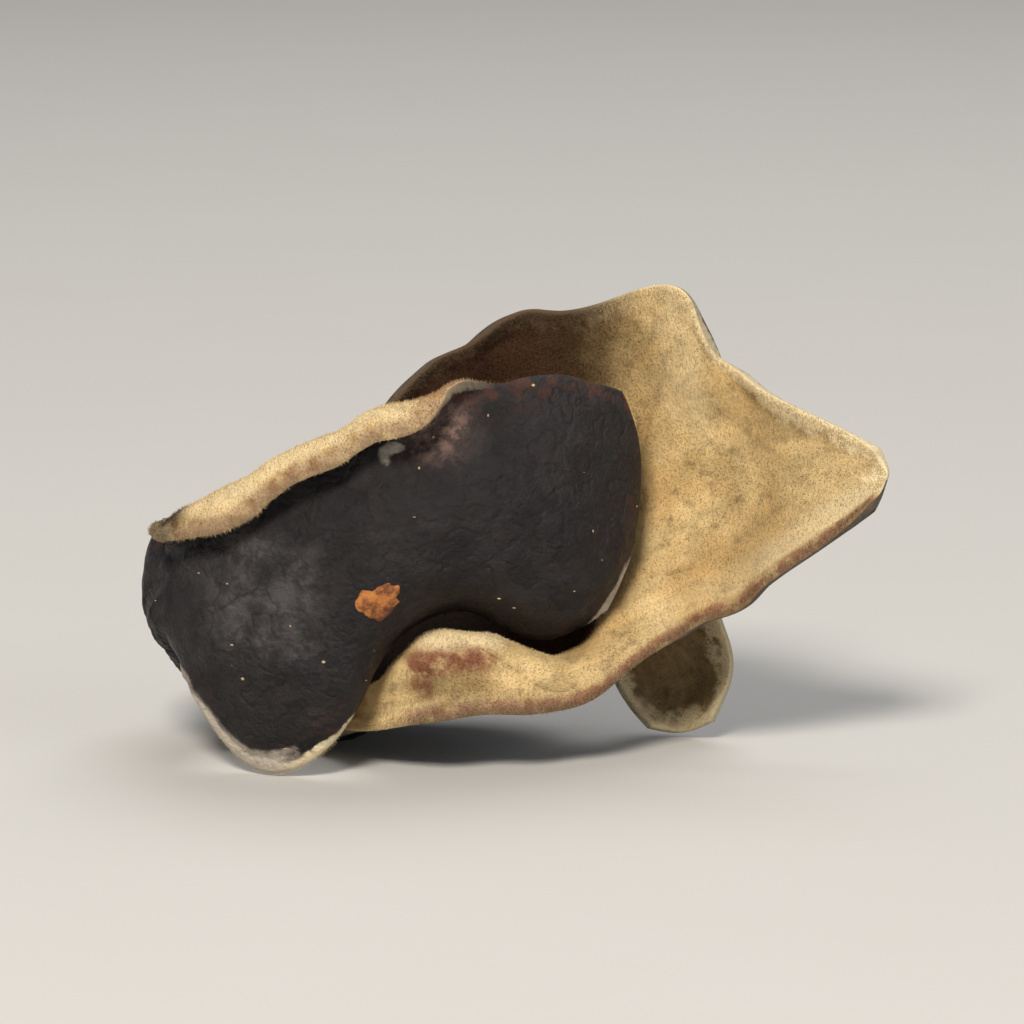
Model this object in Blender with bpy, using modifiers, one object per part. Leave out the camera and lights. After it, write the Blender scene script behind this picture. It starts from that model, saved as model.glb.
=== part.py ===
"""A dried wood ear mushroom: one thin ear-shaped sheet that curled up on itself as it dried.

+X is to the right, +Y away from the front, +Z up, and the piece rests on Z = 0.
The design is in millimetres and the objects are in metres.
The sheet is a loft through ribs that run from its lower margin to its upper one. The first rib is
the free edge of the front flap, the ribs then go round the fold on the left and along the back wall,
and the last one is the tip of the fan on the right.
"""

import bpy
import numpy as np

MM = 0.001

# Driving dimensions, in millimetres.
SHEET_THICKNESS = 0.62  # the flesh with its felt, away from the margins
MARGIN_THICKNESS = 0.42
MARGIN_TAPER = 1.1  # the sheet thins over this distance from a free edge
BASE_THICKNESS = 1.2  # at the place where the ear grew on its log
BASE_RADIUS = 1.5
RUFFLE = 0.24  # height of the waves along the upper margin
LOW_RUFFLE = 0.12  # and along the lower one, where the flap and the lip pass close by
RUFFLE_FADE = 2.2  # how far into the sheet they reach
PLEAT = 0.16  # height of the pleats that fan out from the base
PLEAT_REACH = 5.0
COLLAR = 2.4  # width of the strip that the flap's upper margin rolls outwards
COLLAR_RADIUS = 0.62
HEM = 0.75  # the same for the flap's lower left margin
HEM_RADIUS = 0.6
COLUMNS = 70  # along the sheet
ROWS = 26  # across it
TONGUE_COLUMNS = 14
TONGUE_ROWS = 14

# Each rib is read from the lower margin to the upper one: x, y, z.
RIBS = (
    # The front flap, from its free edge to the fold.
    ((2.0, -2.3, 3.95), (2.4, -2.3, 4.85), (2.75, -2.25, 5.8),
     (2.9, -2.1, 7.0), (2.85, -2.1, 8.3), (2.35, -2.1, 9.7)),
    ((1.1, -2.2, 3.3), (1.4, -3.3, 4.4), (1.6, -3.7, 5.8),
     (1.6, -3.7, 7.4), (1.55, -3.4, 9.1), (1.3, -2.9, 10.3)),
    ((-0.7, -2.2, 3.7), (-0.7, -3.9, 4.65), (-0.7, -4.5, 5.8),
     (-0.7, -4.6, 7.6), (-0.9, -4.05, 9.0), (-1.0, -3.4, 10.15)),
    ((-2.9, -2.6, 3.9), (-2.8, -4.3, 4.6), (-2.8, -5.1, 5.6),
     (-2.9, -4.95, 7.4), (-3.1, -4.05, 9.1), (-3.2, -3.1, 10.6)),
    ((-4.6, -4.2, 1.5), (-4.7, -4.85, 2.7), (-4.8, -5.1, 4.5),
     (-5.0, -4.85, 6.5), (-5.2, -4.05, 8.3), (-5.3, -3.15, 10.0)),
    ((-6.7, -3.8, 0.0), (-6.9, -4.4, 1.5), (-7.1, -4.5, 3.5),
     (-7.3, -4.2, 5.3), (-7.4, -3.5, 7.0), (-7.5, -2.6, 8.8)),
    # The fold on the left.
    ((-8.3, -2.5, 1.9), (-8.85, -2.55, 2.7), (-9.25, -2.4, 3.65),
     (-9.3, -2.0, 4.7), (-9.1, -1.5, 5.5), (-9.0, -1.2, 6.2)),
    ((-8.1, -0.8, 1.75), (-9.05, -0.3, 2.65), (-9.7, 0.1, 3.5),
     (-9.8, 0.3, 4.4), (-9.5, 0.4, 5.3), (-9.2, 0.4, 5.9)),
    ((-6.9, -1.0, 0.7), (-7.8, 1.2, 1.1), (-8.5, 2.3, 2.6),
     (-8.6, 2.7, 4.1), (-8.2, 2.5, 5.2), (-7.8, 2.1, 5.9)),
    # The back wall, whose lower margin comes forward under the flap.
    ((-4.8, -2.3, 0.6), (-4.9, -0.9, 0.7), (-5.2, 1.3, 0.2),
     (-5.6, 3.2, 1.7), (-5.8, 3.8, 4.5), (-5.3, 2.8, 7.2)),
    ((-2.9, -4.4, 1.25), (-2.85, -3.95, 3.35), (-2.8, -1.7, 2.2),
     (-2.8, 2.3, 1.2), (-2.9, 4.0, 5.0), (-2.6, 2.7, 9.6)),
    ((-1.3, -4.5, 1.5), (-1.3, -4.0, 3.6), (-1.3, -1.7, 2.3),
     (-1.3, 2.2, 1.4), (-1.4, 3.7, 5.2), (-1.3, 2.5, 10.6)),
    ((0.2, -4.2, 1.5), (0.4, -3.7, 2.65), (0.4, -1.6, 2.15),
     (0.5, 1.6, 1.8), (0.3, 2.9, 5.8), (0.1, 2.0, 11.3)),
    ((1.7, -3.6, 1.7), (1.9, -2.95, 2.95), (2.1, -1.6, 3.5),
     (2.2, 0.2, 4.2), (2.1, 1.1, 7.2), (1.8, 0.7, 11.65)),
    # The fan on the right.
    ((4.1, -2.8, 3.3), (4.3, -1.9, 4.9), (4.4, -1.1, 6.7),
     (4.4, -0.8, 8.7), (4.45, -0.8, 10.4), (4.45, -0.9, 11.95)),
    ((5.3, -3.0, 3.9), (5.4, -2.2, 5.2), (5.5, -1.5, 6.7),
     (5.45, -1.2, 8.2), (5.3, -1.18, 9.6), (4.95, -1.15, 10.75)),
    ((6.5, -3.2, 4.75), (6.6, -2.5, 5.75), (6.7, -2.0, 6.75),
     (6.7, -1.7, 7.8), (6.6, -1.5, 8.8), (6.4, -1.6, 9.8)),
    ((9.0, -3.25, 7.0), (9.25, -3.1, 7.2), (9.42, -3.0, 7.42),
     (9.5, -3.0, 7.67), (9.35, -2.95, 7.9), (9.1, -2.9, 8.1)),
)
BASE = (-8.1, -0.8, 1.75)  # where the ear grew on its log
MIDDLE = (-0.32, -0.64, -0.14)  # the middle of the piece's footprint, at the height that it rests on
COLLAR_RIBS = (1.5, 3.2, 5.2, 6.8)  # the collar grows, is whole and fades between these ribs
HEM_RIBS = (3.6, 4.4, 5.8, 6.6)
CORNER_RIBS = (13.0, 13.8, 15.0, 15.8)  # the upper margin has no waves round the fan's corner

# A small side lobe grows from the dark side of the wall behind the fan, and is the third foot.
# Its first rib is read from the sheet itself, at these ribs and this share of the sheet's width.
TONGUE_ROOT = (13.95, 13.1, 0.42)
TONGUE_DEPTH = 0.14  # how far its first rib lies behind the middle of the sheet
TONGUE_RIBS = (
    ((5.3, -0.4, 3.2), (4.0, 0.6, 2.8), (2.9, 0.8, 2.8), (2.2, 0.3, 2.9)),
    ((5.6, -0.2, 1.9), (4.2, 0.8, 1.3), (3.2, 0.8, 1.3), (2.5, 0.1, 1.6)),
    ((5.0, -0.2, 0.45), (4.5, 0.2, 0.1), (4.0, 0.2, 0.1), (3.45, -0.2, 0.3)),
)

FLESH_COLOUR = (0.075, 0.058, 0.058)
FLESH_ROUGHNESS = 0.5


def spline(knots, values, at):
    """The natural cubic spline through values, which run along their first axis, read at some places."""
    step = np.diff(knots)
    rise = np.diff(values, axis=0) / step[:, None]
    count = len(knots)
    system = np.eye(count)
    target = np.zeros_like(values)
    for i in range(1, count - 1):
        system[i, i - 1 : i + 2] = step[i - 1], 2 * (step[i - 1] + step[i]), step[i]
        target[i] = 3 * (rise[i] - rise[i - 1])
    bend = np.linalg.solve(system, target)
    span = np.clip(np.searchsorted(knots, at, side="right") - 1, 0, count - 2)
    reach = (at - knots[span])[:, None]
    width = step[span][:, None]
    slope = rise[span] - width * (2 * bend[span] + bend[span + 1]) / 3
    twist = (bend[span + 1] - bend[span]) / (3 * width)
    return values[span] + reach * (slope + reach * (bend[span] + reach * twist))


def loft(ribs, columns, heights):
    """Points of the smooth surface through the ribs, as rows of columns, in millimetres."""
    ribs = np.array(ribs, float)
    count, across = ribs.shape[:2]
    gaps = np.linalg.norm(np.diff(ribs, axis=0), axis=2).mean(axis=1)
    knots = np.concatenate([[0], np.cumsum(gaps)])
    fine = spline(knots, ribs.reshape(count, -1), np.interp(columns, np.arange(count), knots))
    fine = fine.reshape(len(columns), across, 3).transpose(1, 0, 2)
    levels = np.linspace(0, 1, across)
    points = spline(levels, fine.reshape(across, -1), heights)
    return points.reshape(len(heights), len(columns), 3)


def places(ribs, count):
    """Places along the ribs, a rib apart at each whole number, that are evenly spaced on the sheet."""
    gaps = np.linalg.norm(np.diff(np.array(ribs), axis=0), axis=2).mean(axis=1)
    knots = np.concatenate([[0], np.cumsum(gaps)])
    return np.interp(np.linspace(0, knots[-1], count), knots, np.arange(len(knots)))


def heights(count):
    """Heights across the sheet, closer together at the two margins."""
    even = np.linspace(0, 1, count)
    return even - 0.07 * np.sin(2 * np.pi * even)


def distances(points, axis):
    """How far each point is from the first one on its row or column, along the surface."""
    steps = np.linalg.norm(np.diff(points, axis=axis), axis=2)
    return np.concatenate([np.zeros_like(np.take(steps, [0], axis)), np.cumsum(steps, axis)], axis)


def normals(points):
    """The direction across the sheet at each point, pointing out of the roll."""
    out = np.cross(np.gradient(points, axis=0), np.gradient(points, axis=1))
    return out / np.linalg.norm(out, axis=2, keepdims=True)


def smoothstep(low, high, value):
    share = np.clip((value - low) / (high - low), 0, 1)
    return share * share * (3 - 2 * share)


def rolled(points, out, widths, radius):
    """The sheet with a strip along its last row rolled towards the side that out points to."""
    along = distances(points, 0)
    result = points.copy()
    for column in np.flatnonzero(widths > 0.05):
        place = along[:, column]
        start = place[-1] - widths[column]
        read = [np.interp(start, place, points[:, column, k]) for k in range(3)]
        ahead = [np.interp(start + 0.1, place, points[:, column, k]) for k in range(3)]
        away = np.array([np.interp(start, place, out[:, column, k]) for k in range(3)])
        forward = np.subtract(ahead, read)
        forward /= np.linalg.norm(forward)
        away -= forward * (away @ forward)
        away /= np.linalg.norm(away)
        strip = place > start
        angle = (place[strip, None] - start) / radius
        result[strip, column] = read + radius * (np.sin(angle) * forward + (1 - np.cos(angle)) * away)
    return result


def bump(edges, value):
    """Rises from 0 to 1 between the first two edges and falls again between the last two."""
    return smoothstep(edges[0], edges[1], value) * smoothstep(edges[3], edges[2], value)


def curled(points, rib):
    """The sheet with the flap's upper margin rolled into a collar and its lower left one into a hem."""
    crumple = 1 + 0.05 * np.sin(3.1 * rib) + 0.04 * np.sin(5.3 * rib + 1)
    collar = COLLAR * crumple * bump(COLLAR_RIBS, rib)
    points = rolled(points, normals(points), collar, COLLAR_RADIUS)
    hem = HEM * bump(HEM_RIBS, rib)
    return rolled(points[::-1], normals(points)[::-1], hem, HEM_RADIUS)[::-1]


def ruffled(points, rib):
    """The sheet with waves along its free edges and pleats that fan out from its base."""
    along, across = distances(points, 1), distances(points, 0)
    low = np.exp(-across / RUFFLE_FADE) * (1 - bump(HEM_RIBS, rib))
    plain = np.maximum(bump(COLLAR_RIBS, rib), bump(CORNER_RIBS, rib))
    high = np.exp(-(across[-1:] - across) / RUFFLE_FADE) * (1 - plain)
    waves = LOW_RUFFLE * low * np.sin(4.6 * rib + 0.6) + RUFFLE * high * np.sin(3.7 * rib + 1.9)
    root = np.linalg.norm(points[0] - BASE, axis=1).argmin()
    turn = np.arctan2(across, along - along[:1, root])
    reach = np.hypot(across, along - along[:1, root])
    pleats = np.sin(9 * turn) * np.exp(-reach / PLEAT_REACH) * smoothstep(0, 1.5, reach)
    return points + normals(points) * (waves + PLEAT * pleats)[:, :, None]


def sheet_points():
    rib = places(RIBS, COLUMNS)
    return ruffled(curled(loft(RIBS, rib, heights(ROWS)), rib), rib)


def tongue_points():
    """The side lobe, whose first row lies in the sheet that it grows from."""
    first, last, height = TONGUE_ROOT
    strip = loft(RIBS, np.linspace(first, last, len(TONGUE_RIBS[0])), height + np.array([-0.02, 0, 0.02]))
    root = strip[1] - TONGUE_DEPTH * normals(strip)[1]
    ribs = (root, *TONGUE_RIBS)
    return loft(ribs, places(ribs, TONGUE_ROWS), np.linspace(0, 1, TONGUE_COLUMNS)).transpose(1, 0, 2)


def thickness(points):
    """How thick the sheet is at each point, with thin margins and a thick base."""
    along, across = distances(points, 1), distances(points, 0)
    margin = np.minimum(
        np.minimum(along, along[:, -1:] - along),
        np.minimum(across, across[-1:] - across),
    )
    plain = SHEET_THICKNESS + (MARGIN_THICKNESS - SHEET_THICKNESS) * np.exp(-margin / MARGIN_TAPER)
    away = np.linalg.norm(points - BASE, axis=2)
    return plain + (BASE_THICKNESS - SHEET_THICKNESS) * np.exp(-((away / BASE_RADIUS) ** 2))


def clear_scene():
    for old in list(bpy.data.objects):
        bpy.data.objects.remove(old, do_unlink=True)


def new_collection(name):
    collection = bpy.data.collections.new(name)
    bpy.context.scene.collection.children.link(collection)
    return collection


def grid_mesh(name, points):
    rows, columns = points.shape[:2]
    faces = []
    for row in range(rows - 1):
        for column in range(columns - 1):
            first = row * columns + column
            faces.append((first, first + columns, first + columns + 1, first + 1))
    mesh = bpy.data.meshes.new(name)
    mesh.from_pydata(((points - MIDDLE).reshape(-1, 3) * MM).tolist(), [], faces)
    mesh.shade_smooth()
    return mesh


def flesh_material():
    material = bpy.data.materials.new("dried_flesh")
    material.use_nodes = True
    shader = material.node_tree.nodes["Principled BSDF"]
    shader.inputs["Base Color"].default_value = (*FLESH_COLOUR, 1)
    shader.inputs["Roughness"].default_value = FLESH_ROUGHNESS
    shader.inputs["Metallic"].default_value = 0
    return material


def make_sheet(name, points, collection, flesh):
    """A sheet of varying thickness on the grid of points."""
    sheet = bpy.data.objects.new(name, grid_mesh(name, points))
    collection.objects.link(sheet)
    thick = thickness(points)
    most = float(thick.max())
    group = sheet.vertex_groups.new(name="thickness")
    for index, value in enumerate(thick.ravel()):
        group.add([index], float(value) / most, "REPLACE")
    wall = sheet.modifiers.new("wall", "SOLIDIFY")
    wall.thickness = most * MM
    wall.offset = 0
    wall.vertex_group = group.name
    sheet.data.materials.append(flesh)
    return sheet


def grow_together(sheet, lobe):
    """Joins the side lobe to the sheet, as one piece of flesh."""
    lobe.hide_render = True
    lobe.display_type = "WIRE"
    joint = sheet.modifiers.new("side_lobe", "BOOLEAN")
    joint.operation = "UNION"
    joint.object = lobe


def main():
    clear_scene()
    ear = new_collection("dried_wood_ear")
    cutters = new_collection("cutters")
    flesh = flesh_material()
    sheet = make_sheet("wood_ear", sheet_points(), ear, flesh)
    lobe = make_sheet("side_lobe", tongue_points(), cutters, flesh)
    grow_together(sheet, lobe)


main()
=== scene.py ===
"""A dried wood ear mushroom on a pale floor: the curled sheet, the felt of its tan face and its dirt.

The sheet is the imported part's own loft, made here on a finer grid, with a round margin, wrinkles and
two finishes: a smooth dark face outside the roll and a felted tan one inside it. Short hairs stand on
the tan face. The design is in millimetres, as the part's is, and the meshes are in metres.
"""

import math

import bmesh
import bpy
import numpy as np
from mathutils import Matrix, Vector, noise


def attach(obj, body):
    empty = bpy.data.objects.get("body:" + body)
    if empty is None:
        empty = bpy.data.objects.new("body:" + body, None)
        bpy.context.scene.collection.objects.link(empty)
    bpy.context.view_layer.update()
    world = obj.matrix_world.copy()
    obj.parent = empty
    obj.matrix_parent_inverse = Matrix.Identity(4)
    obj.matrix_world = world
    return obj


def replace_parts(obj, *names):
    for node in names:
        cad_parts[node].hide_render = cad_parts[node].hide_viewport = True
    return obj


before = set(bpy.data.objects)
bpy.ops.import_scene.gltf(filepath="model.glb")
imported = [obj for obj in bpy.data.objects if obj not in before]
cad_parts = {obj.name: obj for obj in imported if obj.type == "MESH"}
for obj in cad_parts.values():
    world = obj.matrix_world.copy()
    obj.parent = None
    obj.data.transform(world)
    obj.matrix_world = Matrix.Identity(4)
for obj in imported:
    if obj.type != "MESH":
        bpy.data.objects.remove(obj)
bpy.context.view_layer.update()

MM = 0.001

# The sheet's shape: the same dimensions as the part's, in millimetres.
SHEET_THICKNESS = 0.62
MARGIN_THICKNESS = 0.42
MARGIN_TAPER = 1.1
BASE_THICKNESS = 1.2
BASE_RADIUS = 1.5
RUFFLE = 0.24
LOW_RUFFLE = 0.12
RUFFLE_FADE = 2.2
RUFFLE_WAVES = (3.7, 1.9)  # radians for a rib, and at the first one
LOW_WAVES = (4.6, 0.6)
PLEATS = 9
PLEAT = 0.16
PLEAT_REACH = 5.0
COLLAR = 2.4
COLLAR_RADIUS = 0.62
COLLAR_WAVES = ((0.05, 3.1, 0), (0.04, 5.3, 1))  # how uneven its width is: shares, and radians as above
HEM = 0.75
HEM_RADIUS = 0.6

# Each rib is read from the lower margin to the upper one: x, y, z.
RIBS = (
    # The front flap, from its free edge to the fold.
    ((2.0, -2.3, 3.95), (2.4, -2.3, 4.85), (2.75, -2.25, 5.8),
     (2.9, -2.1, 7.0), (2.85, -2.1, 8.3), (2.35, -2.1, 9.7)),
    ((1.1, -2.2, 3.3), (1.4, -3.3, 4.4), (1.6, -3.7, 5.8),
     (1.6, -3.7, 7.4), (1.55, -3.4, 9.1), (1.3, -2.9, 10.3)),
    ((-0.7, -2.2, 3.7), (-0.7, -3.9, 4.65), (-0.7, -4.5, 5.8),
     (-0.7, -4.6, 7.6), (-0.9, -4.05, 9.0), (-1.0, -3.4, 10.15)),
    ((-2.9, -2.6, 3.9), (-2.8, -4.3, 4.6), (-2.8, -5.1, 5.6),
     (-2.9, -4.95, 7.4), (-3.1, -4.05, 9.1), (-3.2, -3.1, 10.6)),
    ((-4.6, -4.2, 1.5), (-4.7, -4.85, 2.7), (-4.8, -5.1, 4.5),
     (-5.0, -4.85, 6.5), (-5.2, -4.05, 8.3), (-5.3, -3.15, 10.0)),
    ((-6.7, -3.8, 0.0), (-6.9, -4.4, 1.5), (-7.1, -4.5, 3.5),
     (-7.3, -4.2, 5.3), (-7.4, -3.5, 7.0), (-7.5, -2.6, 8.8)),
    # The fold on the left.
    ((-8.3, -2.5, 1.9), (-8.85, -2.55, 2.7), (-9.25, -2.4, 3.65),
     (-9.3, -2.0, 4.7), (-9.1, -1.5, 5.5), (-9.0, -1.2, 6.2)),
    ((-8.1, -0.8, 1.75), (-9.05, -0.3, 2.65), (-9.7, 0.1, 3.5),
     (-9.8, 0.3, 4.4), (-9.5, 0.4, 5.3), (-9.2, 0.4, 5.9)),
    ((-6.9, -1.0, 0.7), (-7.8, 1.2, 1.1), (-8.5, 2.3, 2.6),
     (-8.6, 2.7, 4.1), (-8.2, 2.5, 5.2), (-7.8, 2.1, 5.9)),
    # The back wall, whose lower margin comes forward under the flap.
    ((-4.8, -2.3, 0.6), (-4.9, -0.9, 0.7), (-5.2, 1.3, 0.2),
     (-5.6, 3.2, 1.7), (-5.8, 3.8, 4.5), (-5.3, 2.8, 7.2)),
    ((-2.9, -4.4, 1.25), (-2.85, -3.95, 3.35), (-2.8, -1.7, 2.2),
     (-2.8, 2.3, 1.2), (-2.9, 4.0, 5.0), (-2.6, 2.7, 9.6)),
    ((-1.3, -4.5, 1.5), (-1.3, -4.0, 3.6), (-1.3, -1.7, 2.3),
     (-1.3, 2.2, 1.4), (-1.4, 3.7, 5.2), (-1.3, 2.5, 10.6)),
    ((0.2, -4.2, 1.5), (0.4, -3.7, 2.65), (0.4, -1.6, 2.15),
     (0.5, 1.6, 1.8), (0.3, 2.9, 5.8), (0.1, 2.0, 11.3)),
    ((1.7, -3.6, 1.7), (1.9, -2.95, 2.95), (2.1, -1.6, 3.5),
     (2.2, 0.2, 4.2), (2.1, 1.1, 7.2), (1.8, 0.7, 11.65)),
    # The fan on the right.
    ((4.1, -2.8, 3.3), (4.3, -1.9, 4.9), (4.4, -1.1, 6.7),
     (4.4, -0.8, 8.7), (4.45, -0.8, 10.4), (4.45, -0.9, 11.95)),
    ((5.3, -3.0, 3.9), (5.4, -2.2, 5.2), (5.5, -1.5, 6.7),
     (5.45, -1.2, 8.2), (5.3, -1.18, 9.6), (4.95, -1.15, 10.75)),
    ((6.5, -3.2, 4.75), (6.6, -2.5, 5.75), (6.7, -2.0, 6.75),
     (6.7, -1.7, 7.8), (6.6, -1.5, 8.8), (6.4, -1.6, 9.8)),
    ((9.0, -3.25, 7.0), (9.25, -3.1, 7.2), (9.42, -3.0, 7.42),
     (9.5, -3.0, 7.67), (9.35, -2.95, 7.9), (9.1, -2.9, 8.1)),
)
BASE = (-8.1, -0.8, 1.75)  # where the ear grew on its log
MIDDLE = (-0.32, -0.64, -0.14)  # the middle of the piece's footprint, at the height that it rests on
COLLAR_RIBS = (1.5, 3.2, 5.2, 6.8)  # the collar grows, is whole and fades between these ribs
HEM_RIBS = (3.6, 4.4, 5.8, 6.6)
CORNER_RIBS = (13.0, 13.8, 15.0, 15.8)  # the upper margin has no waves round the fan's corner
TONGUE_ROOT = (13.95, 13.1, 0.42)
TONGUE_DEPTH = 0.14
TONGUE_RIBS = (
    ((5.3, -0.4, 3.2), (4.0, 0.6, 2.8), (2.9, 0.8, 2.8), (2.2, 0.3, 2.9)),
    ((5.6, -0.2, 1.9), (4.2, 0.8, 1.3), (3.2, 0.8, 1.3), (2.5, 0.1, 1.6)),
    ((5.0, -0.2, 0.45), (4.5, 0.2, 0.1), (4.0, 0.2, 0.1), (3.45, -0.2, 0.3)),
)

# What this file adds to that shape, in millimetres.
FELT_DEPTH = 0.12  # the hairs take up this much of the thickness on the tan face
CROWDING = 0.5  # the grid is denser over this distance from a margin, where the edge is round
CROWDING_GAIN = 2.4  # by this share
WRINKLE = 0.15  # height of the wrinkles that both faces share
WRINKLE_WIDTH = 1.1
WRINKLE_FAN = (5.5, 0.16)  # ridges to a radian round the base, and to a millimetre out from it
WRINKLE_DRIFT = 0.8  # how far a ridge strays from its line, in ridges
WRINKLE_DRIFT_WIDTH = 2.5
RIDGE_SHARE = 0.7  # how much of that height ridges have
LUMP_SHARE = 0.6  # and how much the rounder lumps between them
WRINKLE_START = 1.2  # the wrinkles are whole this far from the base
BACK_RIBS = (7.6, 9.0, 12.0, 13.4)  # between these ribs, on the back, the wrinkles are deeper
BACK_WRINKLES = 0.9  # by this share
SHRIVEL = 0.035  # height of the dark face's own fine wrinkles
SHRIVEL_WIDTH = 0.4
NAP_HEIGHT = 0.02  # how uneven the felt is under its hairs
NAP_WIDTH = 0.2
CRUMPLE = 0.16  # the rolled collar is creased across
CRUMPLE_WIDTH = 0.7
CRUMPLE_REACH = 1.2  # in from the margin
KNOT = 0.22  # and bulges at one place
KNOT_RIB = 2.9
KNOT_WIDTH = 0.45
SHEET_GRID = (300, 124)  # columns and rows
TONGUE_GRID = (70, 56)

# Where its marks lie. Ribs count from 0, the flap's free edge, to 17, the fan's tip. Of two limits, a mark
# begins at the first and is whole at the second. Of four, it fades again from the third to the fourth.
PALE_LOW = ((0, 1.0, 2.0, 7.5, 8.5, 9.5, 13, 15, 17), (0.1, 0, 1, 1, 0.4, 0.2, 0.1, 0.1, 0.1))
PALE_HIGH = (
    (0, 1.9, 2.5, 3.0, 6.6, 7.6, 12.8, 13.5, 15, 17),
    (0, 0, 0.3, 0.3, 0.3, 0.1, 0.05, 0.3, 0.6, 0.9),
)
KNOB_RIBS = (9.6, 10.1, 11.6, 12.4)
KNOB_CREST = (3.05, 3.35)  # the heights where its crest has a painted highlight
KNOB_FRONT = (-3.0, -3.5)  # and its y
# the knob's dimple, with its spot of rust colour and painted shade
KNOB_DIMPLE_CENTRE = (-2.7, -4.35, 2.25)
KNOB_SPOT_RADIUS = 0.65
KNOB_DIMPLE = 0.2  # depth of the dimple at the knob's spot of rust colour and painted shade
KNOB_DIMPLE_RADIUS = 0.9
KNOB_STREAK = ((-2.9, -4.3, 2.85), (-1.0, -4.2, 2.97))  # a streak of rust colour and painted shade under the knob's crest
KNOB_STREAK_FADE = (0.5, 0.15)  # away from its line
KNOB_SHADE = (-1.9, -4.35, 2.0)  # and painted shade on the felt below it
KNOB_SHADE_RADIUS = 1.5
KNOB_SHADE_STRENGTH = 0.35
HIGHLIGHT_STRENGTH = 0.55  # of the painted highlights on the knob's crest and on the curl
ROLL_RIBS = (13.8, 12.5)  # inside the roll the felt has painted shade from these ribs on, to the left
ROLL_FRONT = (-2.9, -1.2)  # and from this y on, to the back
ROLL_LEFT = (2.6, -1.4)  # twice as dark past this x
ROLL_LOW = (7, 4)  # and half as dark again below this height
TIP_RIBS = (14.3, 16.5)  # the fan's tip has a little painted shade too
TIP_STRENGTH = 0.24
MARKS_DRIFT = 0.45  # how far the painted shade strays from those limits, in ribs
MARKS_DRIFT_WIDTH = 1.6
CURL_RIBS = (2.4, 3.2, 6.0, 6.5)  # the painted highlight on the collar's curl
CURL_REACH = (0.35, 0.7, 1.7, 2.5)  # from the upper margin
HIGHLIGHT_BAND = ((10.5, 12, 14, 15.5, 17), (0, 0.05, 0.1, 0.25, 0.5))  # a painted highlight band above the margin's rust and painted shadow
HIGHLIGHT_BAND_REACH = (0.3, 0.55, 0.9, 1.7)  # from the lower margin
SHEEN_RIBS = (3.8, 4.5, 4.9, 5.7)  # the flap's painted grey sheen
SHEEN_HEIGHTS = (2.4, 3.8, 5.6, 6.8)
BACK_BLOOM_RIBS = (8.0, 9.5, 15.5, 17.0)
BACK_BLOOM_WIDTH = 2.4
BACK_BLOOM_NOISE = (-0.05, 0.4)  # it shows where a noise is between these values
BACK_BLOOM_STRENGTH = 0.6
BLUSH = (-2.4, -4.6, 9.2)  # a paler brown patch on the dark face, under the end of the collar
BLUSH_SIZE = (1.1, 1.6, 0.9)
BLUSH_FADE = (1.5, 0.4)  # in those sizes
GLINT_STREAK = ((-3.55, -4.6, 8.4), (-3.05, -4.5, 8.7))  # and a painted white highlight in a streak beside it
GLINT_FADE = (0.45, 0.15)  # away from its line
GLINT_WIDTH = 0.4
GLINT_NOISE = (-0.35, 0.25)
EDGE_HIGHLIGHT = (-0.2, 0.1, 1.4, 2.2)  # how far up the flap's free edge has a pale rim with a painted highlight
EDGE_HIGHLIGHT_REACH = (0.75, 0.45)  # and how far in from it
COLLAR_END = (-8.6, -9.4)  # the x of the collar's dark left end
COLLAR_END_DRIFT = 1.3  # millimetres for a rib of drift
COLLAR_END_REACH = (2.9, 2.2)  # from the upper margin
COLLAR_END_SHADE = 1.5
# painted shade over the whole side lobe
LOBE_SHADE = 0.75
LOBE_PALE = 0.6

# Marks that follow a margin: the kind, how strong it is, between which ribs, along which margin and how
# far in from it.
COLLAR_EDGE_RIBS = (2.4, 3.0, 6.2, 6.8)
LIP_RIBS = (9.6, 10.2, 17.5, 18)  # from the lip to the fan's tip
MARGIN_MARKS = (
    ("stain_and_shade", 0.75, (0.5, 1.4, 2.5, 3.2), "upper", (2.6, 1.6)),  # the collar's rusty right end
    # the collar's lower edge, under the roll: rust colour and painted shade
    ("stain_and_shade", 0.8, COLLAR_EDGE_RIBS, "upper", (0.55, 0.25)),
    ("shade", 0.25, COLLAR_EDGE_RIBS, "upper", (0.55, 0.25)),
    # the lower margin of the lip and the fan: rust colour and a painted shadow along the edge
    ("stain_and_shade", 0.95, LIP_RIBS, "lower", (0.5, 0.25)),
    ("shade", 0.6, LIP_RIBS, "lower", (0.35, 0.1)),
    ("shade", 0.85, (-1, -0.5, 1.6, 2.5), "upper", (2.2, 1.0)),  # painted shadow on the felt behind the flap's corner
    ("painted_highlight", 0.25, (13.4, 13.8, 14.2, 14.8), "upper", (4.0, 2.5)),  # painted highlight on the fan's tall corner
    ("wear_and_highlight", 1.0, (4.3, 4.9, 6.0, 6.6), "lower", (0.95, 0.7)),  # the hem
)

# Colours of the real surfaces, and of the painted shade, sheen and highlights, as sRGB.
SKIN_BLACK = "#131011"
SKIN_BROWN = "#211C1C"
SKIN_BLOOM_AND_SHEEN = "#575354"
SKIN_RED = "#4E2D22"
SKIN_BLUSH = "#7C6258"
FELT_MOTTLE_AND_SHADE = "#48331C"
FELT_DEEP_SHADE = "#3E2419"
FELT_TAN = "#C4A26B"
FELT_PALE = "#DFC38D"
FELT_OLIVE = "#917E55"
FELT_RUST_AND_SHADE = "#8A573F"
CREAM_RIM_AND_HIGHLIGHT = "#EBDAB2"
GREY_RIM_AND_HIGHLIGHT = "#BFB4A5"
BARK_ORANGE = "#B87438"
BARK_BROWN = "#66391F"
DUST_GREY = "#9A9083"
FLOOR_GREY = "#C6C4C0"


# The sheet's surface.


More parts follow.
